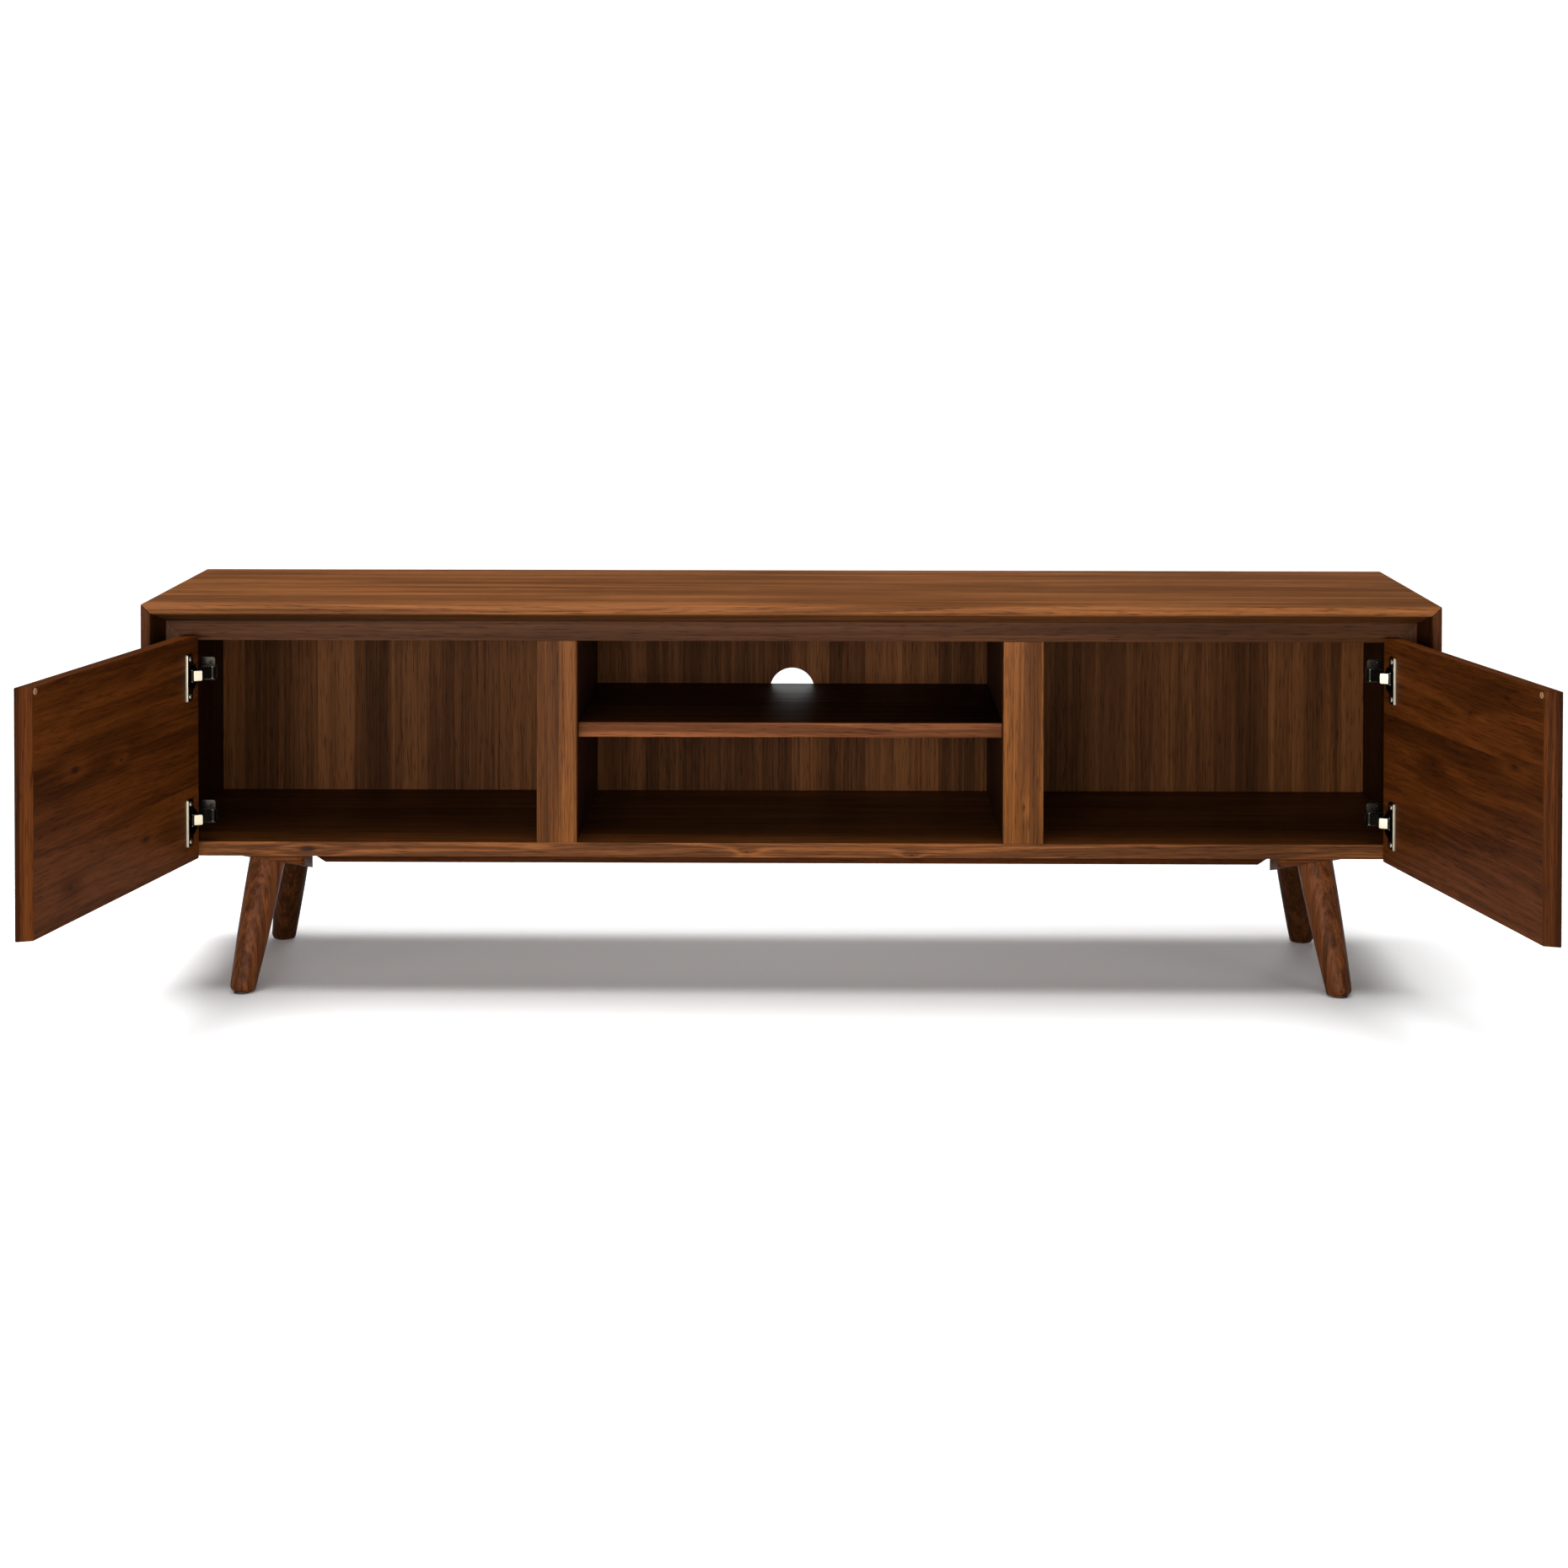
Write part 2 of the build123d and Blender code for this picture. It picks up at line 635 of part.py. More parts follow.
# The arm is a channel on a plate screwed to the inner edge of the stile.
arm_front = FRAME_SETBACK + ARM_FRONT_GAP
arm_end_x = arm_pivot[0] + ARM_KNUCKLE_RADIUS + ARM_END_MARGIN
plate_x = PLATE_THICKNESS - stile_edge_x
arm_length = arm_end_x - plate_x
with BuildPart() as hinge_arms:
    for height in hinge_heights:
        with BuildSketch(Plane.YZ.offset(-stile_edge_x)):
            with Locations((front_y + FRAME_SETBACK + FRAME_THICKNESS / 2, height)):
                Rectangle(FRAME_THICKNESS - 2 * PLATE_MARGIN, PLATE_HEIGHT)
        extrude(amount=PLATE_THICKNESS)
        with BuildSketch(Plane.XY.offset(height - ARM_HEIGHT / 2)):
            with Locations((plate_x + arm_length / 2, front_y + arm_front + ARM_DEPTH / 2)):
                Rectangle(arm_length, ARM_DEPTH)
        extrude(amount=ARM_HEIGHT)
        with BuildSketch(Plane.XY.offset(height - ARM_HEIGHT / 2 + ARM_WALL)):
            with Locations((plate_x + arm_length / 2, front_y + arm_front + (ARM_DEPTH - ARM_WALL) / 2)):
                Rectangle(arm_length, ARM_DEPTH - ARM_WALL)
        extrude(amount=ARM_HEIGHT - 2 * ARM_WALL, mode=Mode.SUBTRACT)
        with BuildSketch(Plane(origin=(*at_depth(arm_pivot), height - ARM_HEIGHT / 2))):
            Circle(ARM_PIN_RADIUS)
        extrude(amount=ARM_HEIGHT, mode=Mode.SUBTRACT)
    with BuildSketch(Plane.YZ.offset(-stile_edge_x)):
        with Locations(*plate_screw_places):
            Circle(SCREW_RADIUS)
    extrude(amount=PLATE_THICKNESS, mode=Mode.SUBTRACT)
keep_pair(hinge_arms, "hinge_arms")

with BuildPart() as arm_pins:
    for height in hinge_heights:
        with BuildSketch(Plane(origin=(*at_depth(arm_pivot), height - ARM_HEIGHT / 2))):
            Circle(ARM_PIN_RADIUS)
        extrude(amount=ARM_HEIGHT)
keep_pair(arm_pins, "arm_pins")

with BuildPart() as plate_screws:
    with BuildSketch(Plane.YZ.offset(plate_x)):
        with Locations(*plate_screw_places):
            Circle(SCREW_RADIUS)
    extrude(amount=-(SCREW_LENGTH + PLATE_THICKNESS))
    with BuildSketch(Plane.YZ.offset(plate_x)):
        with Locations(*plate_screw_places):
            Circle(SCREW_HEAD_RADIUS)
    extrude(amount=SCREW_HEAD_HEIGHT, taper=SCREW_HEAD_TAPER)
keep_pair(plate_screws, "plate_screws")

# Each link is a cranked strap with a knuckle at each end. Its crank clears the rim of the cup.
link_points = [
    at_depth(plus(arm_pivot, turned(LINK_SWING, *offset)))
    for offset in ((0.0, 0.0), LINK_REAR_KNEE, LINK_CUP_KNEE, closed_link)
]
with BuildPart() as hinge_links:
    for height in hinge_heights:
        with BuildSketch(Plane.XY.offset(height - LINK_HEIGHT / 2)):
            for start, end in zip(link_points, link_points[1:]):
                run = (end[0] - start[0], end[1] - start[1])
                with Locations(((start[0] + end[0]) / 2, (start[1] + end[1]) / 2)):
                    SlotCenterToCenter(
                        math.hypot(*run), LINK_THICKNESS, rotation=math.degrees(math.atan2(run[1], run[0]))
                    )
            with Locations(link_points[0]):
                Circle(ARM_KNUCKLE_RADIUS)
            with Locations(link_points[-1]):
                Circle(CUP_KNUCKLE_RADIUS)
            with Locations(link_points[0]):
                Circle(ARM_PIN_RADIUS + PIVOT_CLEARANCE, mode=Mode.SUBTRACT)
            with Locations(link_points[-1]):
                Circle(CUP_PIN_RADIUS + PIVOT_CLEARANCE, mode=Mode.SUBTRACT)
        extrude(amount=LINK_HEIGHT)
keep_pair(hinge_links, "hinge_links")
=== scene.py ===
# %% [markdown]
# # A walnut media cabinet
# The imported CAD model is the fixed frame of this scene. Every board, leg and hinge is already in its place
# and at its size, so the work here is the finish: the oiled walnut, the plated steel and the light.

# %% Load the frame
import json
import math

import bmesh
import bpy
import numpy as np
from mathutils import Matrix, Vector


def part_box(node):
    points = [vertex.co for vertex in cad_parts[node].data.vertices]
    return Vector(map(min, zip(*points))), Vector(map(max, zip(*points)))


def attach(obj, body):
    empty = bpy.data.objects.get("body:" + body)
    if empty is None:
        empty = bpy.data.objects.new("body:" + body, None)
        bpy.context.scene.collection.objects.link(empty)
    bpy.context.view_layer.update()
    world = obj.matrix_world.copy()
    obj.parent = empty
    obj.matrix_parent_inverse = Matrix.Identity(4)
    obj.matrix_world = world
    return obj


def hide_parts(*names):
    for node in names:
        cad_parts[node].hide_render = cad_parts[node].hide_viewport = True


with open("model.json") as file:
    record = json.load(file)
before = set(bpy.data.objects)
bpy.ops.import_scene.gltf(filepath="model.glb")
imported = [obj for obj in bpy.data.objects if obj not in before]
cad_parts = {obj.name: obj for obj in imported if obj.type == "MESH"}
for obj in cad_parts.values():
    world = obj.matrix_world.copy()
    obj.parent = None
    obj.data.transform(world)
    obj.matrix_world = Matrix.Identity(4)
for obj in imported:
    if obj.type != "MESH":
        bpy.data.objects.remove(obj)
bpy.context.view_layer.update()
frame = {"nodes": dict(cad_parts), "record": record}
nodes = frame["nodes"]
MM = 0.001

# %% [markdown]
# ## The studio
# A plain white floor and an even white surround leave the cabinet on its own. The floor is a single wide
# sheet, because the surround has the same white as the lit floor, so no join shows at the horizon.

# %% Colours from hex values


def linear(hex_colour):
    """An sRGB hex colour as linear red, green, blue and an alpha of 1."""
    parts = [int(hex_colour[i : i + 2], 16) / 255 for i in (0, 2, 4)]
    straight = [c / 12.92 if c <= 0.04045 else ((c + 0.055) / 1.055) ** 2.4 for c in parts]
    return (*straight, 1.0)


def add(tree, kind, inputs=None, **settings):
    """Add a node with its settings, and set each input given, or link it to a socket or a node's first."""
    item = tree.nodes.new(kind)
    for name, value in settings.items():
        setattr(item, name, value)
    for key, value in (inputs or {}).items():
        if isinstance(value, bpy.types.Node):
            value = value.outputs[0]
        if isinstance(value, bpy.types.NodeSocket):
            tree.links.new(value, item.inputs[key])
        else:
            item.inputs[key].default_value = value
    return item


def new_material(name):
    """A material with an empty node tree, and its tree."""
    material = bpy.data.materials.new(name)
    material.use_nodes = True
    material.node_tree.nodes.clear()
    return material, material.node_tree


print("pale walnut in linear light:", [round(c, 3) for c in linear("8A5A36")])

# %% Floor
FLOOR_SIZE = 30.0


def grid_mesh(name, points):
    """A mesh from a rows by columns array of points, with a quad between each four neighbours."""
    rows, columns = points.shape[:2]
    index = np.arange(rows * columns).reshape(rows, columns)
    quads = np.stack([index[:-1, :-1], index[:-1, 1:], index[1:, 1:], index[1:, :-1]], axis=-1)
    mesh = bpy.data.meshes.new(name)
    mesh.from_pydata(points.reshape(-1, 3), [], quads.reshape(-1, 4).tolist())
    mesh.update()
    return mesh


def new_object(name, mesh):
    """An object for a mesh, linked to the scene."""
    thing = bpy.data.objects.new(name, mesh)
    bpy.context.scene.collection.objects.link(thing)
    return thing


half = FLOOR_SIZE / 2
across, along = np.meshgrid(np.linspace(-half, half, 3), np.linspace(-half, half, 3))
floor = new_object("floor", grid_mesh("floor", np.stack([across, along, 0 * across], axis=-1)))
paint, tree = new_material("matt white floor paint")
paint_shader = add(tree, "ShaderNodeBsdfDiffuse", {"Color": linear("FAFAFA")})
add(tree, "ShaderNodeOutputMaterial", {"Surface": paint_shader.outputs[0]})
floor.data.materials.append(paint)
print("floor:", FLOOR_SIZE, "m square")

# %% [markdown]
# ## The light
# Walnut this dark goes flat under light from all round. A wide soft box in front lights the front edges. An
# even light from overhead does the top and the floor, and leaves the soft shadow under the case. A weaker
# one from behind picks out the back, and shines through the cable hole onto the shelf. The surround itself
# stays dim, because a low sheen on dark wood soon turns grey under a bright one.

# %% World
SURROUND_SEEN = 1.3
SURROUND_LIGHT = 0.06
WHITE = (1, 1, 1, 1)
world = bpy.data.worlds.new("white surround")
bpy.context.scene.world = world
world.use_nodes = True
sky = world.node_tree
sky.nodes.clear()
seen = add(sky, "ShaderNodeBackground", {"Color": WHITE, "Strength": SURROUND_SEEN})
felt = add(sky, "ShaderNodeBackground", {"Color": WHITE, "Strength": SURROUND_LIGHT})
straight_to_camera = add(sky, "ShaderNodeLightPath").outputs["Is Camera Ray"]
blend = add(sky, "ShaderNodeMixShader", {0: straight_to_camera, 1: felt.outputs[0], 2: seen.outputs[0]})
add(sky, "ShaderNodeOutputWorld", {"Surface": blend.outputs[0]})
print("surround:", SURROUND_SEEN, "as seen,", SURROUND_LIGHT, "as light")

# %% Soft boxes and suns
CABINET_MIDDLE = (0, 0, 0.35)


def new_lamp(name, kind, place, target, energy, **settings):
    """A lamp at a place, turned to face a target. Only a soft box shows in reflections."""
    lamp = bpy.data.lights.new(name, kind)
    lamp.energy = energy
    for key, value in settings.items():
        setattr(lamp, key, value)
    thing = bpy.data.objects.new(name, lamp)
    bpy.context.scene.collection.objects.link(thing)
    thing.location = place
    thing.rotation_euler = (Vector(target) - Vector(place)).to_track_quat("-Z", "Y").to_euler()
    thing.visible_glossy = kind == "AREA"


def new_soft_box(name, place, target, energy, width, height):
    """A rectangular soft box, width by height in metres, facing a target."""
    new_lamp(name, "AREA", place, target, energy, shape="RECTANGLE", size=width, size_y=height)


new_soft_box("front_soft_box", (-0.8, -4.6, 0.75), CABINET_MIDDLE, 185, 3.4, 1.3)
for side in (-1, 1):
    new_soft_box("side_soft_box", (3.6 * side, -4, 0.8), CABINET_MIDDLE, 50, 1.8, 1.5)
new_soft_box("top_soft_box", (-1.3, 0.3, 2.2), (-1.2, 0.3, 0.5), 24, 1.5, 1.0)
new_lamp("overhead_light", "SUN", (0, 0.1, 3), (0, 0.1, 0), 3.2, angle=math.radians(46))
new_lamp("back_light", "SUN", (0.3, 3, 1.4), (0, 0, 0.2), 0.8, angle=math.radians(30))
new_soft_box("cable_hole_light", (0, 1.0, 0.44), (0, 0.4, 0.40), 0.7, 0.5, 0.14)

# %% [markdown]
# ## The camera
# The camera stands a little over four metres off, a little above the top board. It could be tilted down at
# the cabinet, but then the upright edges would lean. So it looks almost level, and a lens shift brings the
# cabinet into the middle of the frame.

# %% Camera
CAMERA_PLACE = Vector((0.0351, -4.2275, 1.0528))
PITCH, YAW, ROLL = 0.02304, 0.01126, 0.0009
FOCAL_TO_WIDTH = 1.9626
SENSOR = 36.0
LENS_SHIFT = (0.002, -0.2976)
VIEW_END = 100

forward = Vector((-math.sin(YAW) * math.cos(PITCH), math.cos(YAW) * math.cos(PITCH), -math.sin(PITCH)))
level_right = Vector((math.cos(YAW), math.sin(YAW), 0))
level_up = level_right.cross(forward)
right = math.cos(ROLL) * level_right + math.sin(ROLL) * level_up
up = math.cos(ROLL) * level_up - math.sin(ROLL) * level_right
view = bpy.data.cameras.new("camera")
view.sensor_width = SENSOR
view.lens = FOCAL_TO_WIDTH * SENSOR
view.shift_x, view.shift_y = LENS_SHIFT
view.clip_end = VIEW_END
camera = bpy.data.objects.new("camera", view)
bpy.context.scene.collection.objects.link(camera)
camera.matrix_world = Matrix.Translation(CAMERA_PLACE) @ Matrix((right, up, -forward)).transposed().to_4x4()
bpy.context.scene.camera = camera
bpy.context.scene.view_settings.view_transform = "Standard"
print("lens:", round(view.lens, 1), "mm")

# %% [markdown]
# ## Oiled walnut
# Walnut is a brown hardwood with dark growth lines, and pores that show as short dark dashes along the grain.
# It could be laid on as a flat pattern face by face. Here it is a solid pattern in space, stretched
# along the grain, so a board's faces, edges and end grain agree with each other as they do in a real board.
# The growth layers lie almost flat in a board, so they cross its edges much faster than its faces.

# %% Noise along the grain, and shades
GRAIN_AXES = {"X": (0, 1, 2), "XY": (0, 2, 1), "Z": (2, 0, 1)}
SHADE_PLACES = (0.2, 0.43, 0.62, 0.85)


def stretched_noise(tree, place, scale, detail=2.0, roughness=0.5):
    """Noise from 0 to 1, at a place multiplied by a scale for each axis, in patches per metre."""
    stretch = add(tree, "ShaderNodeVectorMath", {0: place, 1: scale}, operation="MULTIPLY")
    settings = {"Vector": stretch, "Scale": 1.0, "Detail": detail, "Roughness": roughness}
    return add(tree, "ShaderNodeTexNoise", settings)


def shades(middle, spread):
    """Four linear colours round a middle hex colour, from growth line to pale wood.

    Each channel is middle * factor ** power, and the blue power is the highest, so dark wood is redder.
    """
    steps = (1 / (1 + 2.2 * spread), 1 - 0.35 * spread, 1 + 0.35 * spread, 1 + 1.1 * spread)
    base = linear(middle)
    return [(*(base[i] * step ** (1.0, 1.05, 1.15)[i] for i in range(3)), 1.0) for step in steps]


def wood_colour(tree, pattern, middle, spread):
    """The colour that a pattern from dark to pale gives, blended between the four shades."""
    blended = add(tree, "ShaderNodeValToRGB", {0: pattern})
    line = blended.color_ramp
    while len(line.elements) < len(SHADE_PLACES):
        line.elements.new(0.5)
    for element, place, shade in zip(line.elements, SHADE_PLACES, shades(middle, spread)):
        element.position = place
        element.color = shade
    return blended.outputs[0]


print("walnut shades:", [[round(c, 3) for c in shade[:3]] for shade in shades("6E452A", 0.5)])

# %% [markdown]
# ## Boards, strips and knots
# A door is glued up from a few wide planks, with a lipping across their ends, and a veneered panel is laid in
# narrow strips. Each plank or strip comes from another part of the tree. They could be modelled as separate
# pieces, but on the real boards only the figure changes. So the place in the solid pattern jumps from one to
# the next, and the grain turns across at the lipping. Round a knot the layers swell aside.

# %% Places in a board
LAYER_JUMP = (3.0, 0.4, 0.4)
WANDER_STRETCH = (1.8, 9, 9)
KNOT_STRETCH = (0.4, 1, 0.3)
EULER = 2.718


def board_axes(tree, place, grain, turn, lipping):
    """The along, across and through values, and 1 or 0 for past the start of the lipping and of its rim."""
    turned = add(tree, "ShaderNodeMapping", {"Vector": place, "Rotation": (0, 0, math.radians(turn))})
    apart = add(tree, "ShaderNodeSeparateXYZ", {0: turned})
    along, across, through = (apart.outputs[axis] for axis in GRAIN_AXES[grain])
    edge = rim = 0.0
    if lipping:
        edge, rim = [add(tree, "ShaderNodeMath", {0: along, 1: reach}, operation="GREATER_THAN")
                     for reach in lipping]
        swaps = ({0: edge, 2: along, 3: across}, {0: edge, 2: across, 3: along})
        along, across = [add(tree, "ShaderNodeMix", swap) for swap in swaps]
    return along, across, through, edge, rim


def pieces_of_board(tree, here, across, bottom, width):
    """The place moved to another part of the tree for each piece, and a tone from 0 to 1 for each."""
    above = add(tree, "ShaderNodeMath", {0: across, 1: bottom}, operation="SUBTRACT")
    pieces = add(tree, "ShaderNodeMath", {0: above, 1: width}, operation="DIVIDE")
    number = add(tree, "ShaderNodeMath", {0: pieces}, operation="FLOOR")
    pick = add(tree, "ShaderNodeTexWhiteNoise", {"W": number}, noise_dimensions="1D")
    jump = add(tree, "ShaderNodeVectorMath", {0: pick.outputs["Color"], 1: LAYER_JUMP}, operation="MULTIPLY")
    return add(tree, "ShaderNodeVectorMath", {0: here, 1: jump}, operation="ADD"), pick.outputs["Value"]


def wandering(tree, here, wave):
    """The place moved sideways by up to a wave in metres, so that no growth line is straight."""
    stretch = add(tree, "ShaderNodeVectorMath", {0: here, 1: WANDER_STRETCH}, operation="MULTIPLY")
    drift = add(tree, "ShaderNodeTexNoise", {"Vector": stretch, "Scale": 1.0, "Detail": 2.0}).outputs["Color"]
    centred = add(tree, "ShaderNodeVectorMath", {0: drift, 1: (0.5, 0.5, 0.5)}, operation="SUBTRACT")
    aside = add(tree, "ShaderNodeVectorMath", {0: centred, 1: (0, 2 * wave, 2 * wave)}, operation="MULTIPLY")
    return add(tree, "ShaderNodeVectorMath", {0: here, 1: aside}, operation="ADD")


def knot_fields(tree, grained, knots):
    """The swell and the heart of the knots: sums of e ** (-near / 2), and of 1 falling to 0 by near 0.6."""
    swell = heart = 0.0
    for *middle_place, radius in knots:
        apart = add(tree, "ShaderNodeVectorMath", {0: grained, 1: tuple(middle_place)}, operation="SUBTRACT")
        gap = add(tree, "ShaderNodeVectorMath", {0: apart, 1: KNOT_STRETCH}, operation="MULTIPLY")
        distance = add(tree, "ShaderNodeVectorMath", {0: gap}, operation="LENGTH").outputs["Value"]
        near = add(tree, "ShaderNodeMath", {0: distance, 1: radius}, operation="DIVIDE")
        fall = add(tree, "ShaderNodeMath", {0: near, 1: -0.5}, operation="MULTIPLY")
        bulge = add(tree, "ShaderNodeMath", {0: EULER, 1: fall}, operation="POWER")
        dark = add(tree, "ShaderNodeMapRange", {0: near, 1: 0.6, 2: 0.15})
        swell = add(tree, "ShaderNodeMath", {0: swell, 1: bulge}, operation="ADD")
        heart = add(tree, "ShaderNodeMath", {0: heart, 1: dark}, operation="ADD")
    return swell, heart


print("grain axes:", GRAIN_AXES)

# %% [markdown]
# ## Growth lines and pores
# Walnut's figure has several scales at once: broad rings, fine lines between them, hair lines, and patches
# where the board is darker or paler. One noise could stand for them all, but the eye then reads it as a
# smear. So each scale has its own noise, stretched along the grain, and they add up to one value, from dark
# to pale.

# %% Growth pattern
FULL_TURN = 6.283
KNOT_SWELL = 0.35
RING_SHARPNESS = 1.6
RING_SHARE, FINE_SHARE, HAIR_SHARE, PATCH_SHARE = 0.20, 0.78, 0.36, 0.10
PATTERN_START = -0.15
# The lipping is a touch paler. Past its rim the door's outermost edge is darkened, a painted shade for an
# edge turning away from the light.
LIPPING_LIFT, RIM_PAINTED_SHADE = 0.03, -0.18


def growth_pattern(tree, here, moved, swell, figure, line, rings):
    """The pattern from dark to pale, and its fine part: (0.5 + 0.5 sin(turns)) ** sharpness, plus noises."""
    broad = stretched_noise(tree, moved, (0.9, 1 / figure, 3 / figure))
    bulged = add(tree, "ShaderNodeMath", {0: swell, 1: KNOT_SWELL}, operation="MULTIPLY")
    swollen = add(tree, "ShaderNodeMath", {0: broad, 1: bulged}, operation="ADD")
    layers = add(tree, "ShaderNodeMath", {0: swollen, 1: rings}, operation="MULTIPLY")
    turns = add(tree, "ShaderNodeMath", {0: layers, 1: FULL_TURN}, operation="MULTIPLY")
    swing = add(tree, "ShaderNodeMath", {0: turns}, operation="SINE")
    lifted = add(tree, "ShaderNodeMath", {0: swing, 1: 0.5, 2: 0.5}, operation="MULTIPLY_ADD")
    ring = add(tree, "ShaderNodeMath", {0: lifted, 1: RING_SHARPNESS}, operation="POWER")
    fine = stretched_noise(tree, moved, (2.5, 1 / line, 2 / line), 4.0, 0.65)
    hair = stretched_noise(tree, moved, (6.0, 4 / line, 6 / line), 2.0, 0.6)
    patch = stretched_noise(tree, here, (1.5, 6, 6), 1.0)
    lines = add(tree, "ShaderNodeMath", {0: fine, 1: FINE_SHARE, 2: PATTERN_START}, operation="MULTIPLY_ADD")
    ringed = add(tree, "ShaderNodeMath", {0: ring, 1: RING_SHARE, 2: lines}, operation="MULTIPLY_ADD")
    hairs = add(tree, "ShaderNodeMath", {0: hair, 1: HAIR_SHARE}, operation="MULTIPLY")
    haired = add(tree, "ShaderNodeMath", {0: ringed, 1: hairs}, operation="ADD")
    patches = add(tree, "ShaderNodeMapRange", {0: patch, 1: 0.3, 2: 0.7, 3: -PATCH_SHARE, 4: PATCH_SHARE})
    return add(tree, "ShaderNodeMath", {0: haired, 1: patches}, operation="ADD"), fine


print("shares of ring, fine line, hair line and patch:", RING_SHARE, FINE_SHARE, HAIR_SHARE, PATCH_SHARE)

# %% [markdown]
# ## Oil and pores
# Oil soaks into walnut and leaves it bare to the touch, with a low sheen and its pores open. It could be
# given a clear coat, but oil builds no film, and a coat would shine like lacquer. So the sheen is a weak
# reflection, rougher where the wood is dark, and the pores are darker and slightly sunken. The heart of a
# knot is almost black.

# %% Walnut material
# Real pores are about a fifth of a millimetre wide. They are drawn several times as wide, so that they show.
PORE_SCALE = (30, 620, 620)
PORE_TINT, HEART_COLOUR = "6A5238", "1A0C06"
PORE_SHARE, HEART_SHARE = 0.6, 0.8
OIL_IOR = 1.46
DARK_ROUGHNESS, PALE_ROUGHNESS = 0.58, 0.44
RELIEF = 0.0004


def walnut(name, grain, middle, offset, spread=0.45, turn=0.0, wave=0.008, figure=0.035, line=0.006,
           rings=3.0, strip=None, contrast=0.12, knots=(), planks=None, lipping=None, painted_shade=None, gloss=0.08):
    """Oiled walnut with its grain along an axis.

    middle is its middle colour and spread how far the growth lines and pale wood lie from it. wave is how far
    the grain wanders, figure the width of the broad bands and line that of the fine ones, all in metres.
    strip is the width of veneer strips. planks is a (bottom, width) of wide boards glued edge to edge. A knot
    is (along, across, through, radius) in metres after the turn. lipping is where an edge lipping starts, and
    where its rim does, both along the grain. Past the rim the colour is darker, a painted shade for the
    door's outermost edge turning away from the light. The last but one argument is (axis, start, end,
    share), a painted shade: past the start, away from the outside, the colour is multiplied by share,
    where little light reaches. gloss is the strength of the oil's reflection.
    """
    material, tree = new_material(name)
    place = add(tree, "ShaderNodeTexCoord").outputs["Object"]
    along, across, through, edge, rim = board_axes(tree, place, grain, turn, lipping)
    grained = add(tree, "ShaderNodeCombineXYZ", {0: along, 1: across, 2: through})
    here = add(tree, "ShaderNodeVectorMath", {0: grained, 1: offset}, operation="ADD")
    tone = 0.5
    if strip or planks:
        here, tone = pieces_of_board(tree, here, across, *(planks or (0.0, strip)))
    moved = wandering(tree, here, wave)
    swell, heart = knot_fields(tree, grained, knots)
    pattern, fine = growth_pattern(tree, here, moved, swell, figure, line, rings)
    centred = add(tree, "ShaderNodeMath", {0: tone, 1: 0.5}, operation="SUBTRACT")
    pieces_part = add(tree, "ShaderNodeMath", {0: centred, 1: contrast * 4}, operation="MULTIPLY")
    # Painted shade: the door's outermost rim is darkened.
    rim_shade_part = add(tree, "ShaderNodeMath", {0: rim, 1: RIM_PAINTED_SHADE}, operation="MULTIPLY")
    edge_part = add(tree, "ShaderNodeMath", {0: edge, 1: LIPPING_LIFT, 2: rim_shade_part}, operation="MULTIPLY_ADD")
    for part in (pieces_part, edge_part):
        pattern = add(tree, "ShaderNodeMath", {0: pattern, 1: part}, operation="ADD")

    pores = stretched_noise(tree, moved, PORE_SCALE, 1.0)
    dark = add(tree, "ShaderNodeMapRange", {0: pores, 1: 0.55, 2: 0.72, 4: PORE_SHARE})
    tints = [("MULTIPLY", dark, linear(PORE_TINT))]
    if knots:
        knotted = add(tree, "ShaderNodeMath", {0: heart, 1: HEART_SHARE}, operation="MINIMUM")
        tints.append(("MIX", knotted, linear(HEART_COLOUR)))
    # Painted shade: past the start, away from the outside, the colour is darkened where little light reaches.
    if painted_shade:
        axis, start, end, share = painted_shade
        apart = add(tree, "ShaderNodeSeparateXYZ", {0: place})
        inward = add(tree, "ShaderNodeMath", {0: apart.outputs[axis]}, operation="ABSOLUTE")
        past_start = add(tree, "ShaderNodeMapRange", {0: inward, 1: start, 2: end})
        tints.append(("MULTIPLY", past_start, (share, share, share, 1)))
    colour = wood_colour(tree, pattern, middle, spread)
    for blend_type, amount, tint in tints:
        blended = add(tree, "ShaderNodeMix", {0: amount, 6: colour, 7: tint}, data_type="RGBA",
                      blend_type=blend_type)
        colour = blended.outputs[2]

    raised = add(tree, "ShaderNodeMath", {0: fine, 1: 0.5}, operation="MULTIPLY")
    height = add(tree, "ShaderNodeMath", {0: raised, 1: dark}, operation="SUBTRACT")
    bump = add(tree, "ShaderNodeBump", {"Height": height, "Strength": 0.35, "Distance": RELIEF})
    sheen = add(tree, "ShaderNodeMapRange",
                {0: pattern, 1: 0.2, 2: 0.8, 3: DARK_ROUGHNESS, 4: PALE_ROUGHNESS})
    shader = add(tree, "ShaderNodeBsdfPrincipled",
                 {"Base Color": colour, "Roughness": sheen, "IOR": OIL_IOR, "Specular IOR Level": gloss,
                  "Normal": bump})
    add(tree, "ShaderNodeOutputMaterial", {"Surface": shader})
    return material


print("walnut reads its pattern at scales of", PORE_SCALE, "per metre for the pores")
